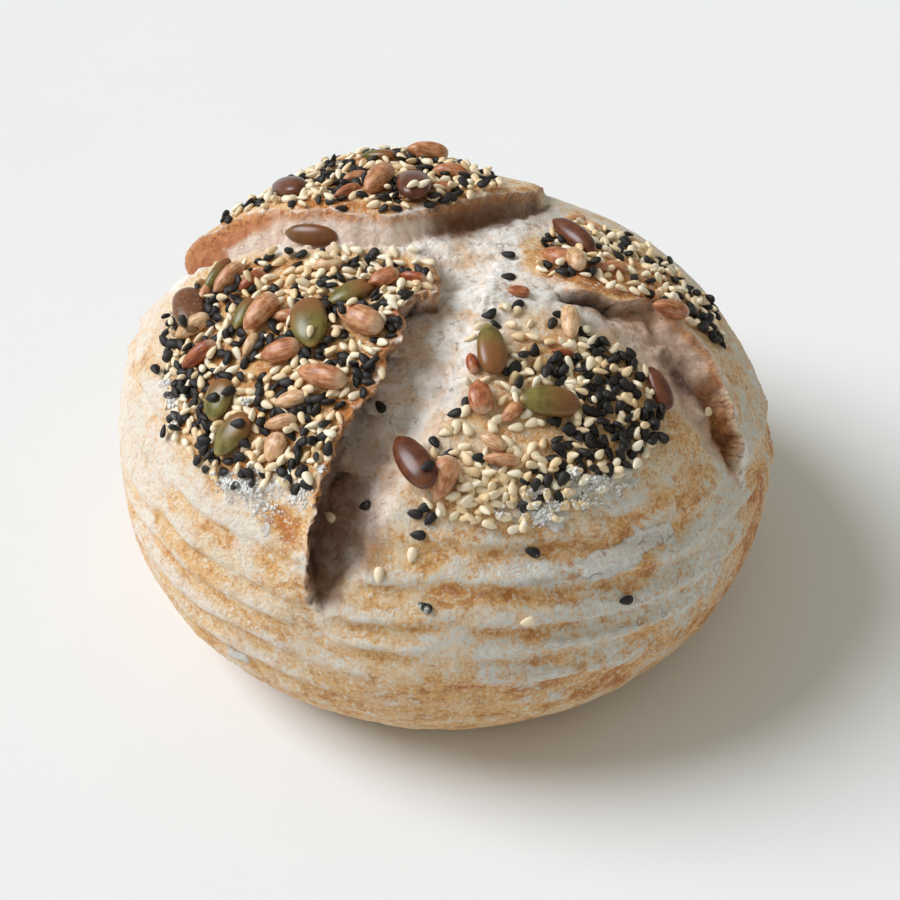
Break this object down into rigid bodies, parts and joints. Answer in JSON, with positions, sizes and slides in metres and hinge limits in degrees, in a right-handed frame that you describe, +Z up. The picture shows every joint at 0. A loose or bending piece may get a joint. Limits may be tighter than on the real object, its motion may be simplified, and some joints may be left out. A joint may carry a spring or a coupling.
{
  "type": "gluten-free round loaf",
  "caption": "Round crusty loaf with a domed top and a flat base, opened along a crossed cut into lobes that carry baked-on seeds.",
  "frame": {"origin": "middle of the flat base", "axes": "+Z up through the top of the loaf, -Y towards the side that is pictured, +X to its right"},
  "size_m": [0.1504, 0.1499, 0.091],
  "materials": {
    "crust": "baked crust, pale golden tan with white flour in rings, and whitish torn crumb, dull",
    "pale_sesame": "pale cream sesame seeds, satin",
    "dark_sesame": "black sesame seeds, dull to satin",
    "pumpkin_seed": "olive green and brown pumpkin seeds, satin",
    "kernel": "toasted pinkish brown sunflower kernels and seeds, satin"
  },
  "bodies": {
    "root": {"loaf": "crust"}
  },
  "joints": []
}
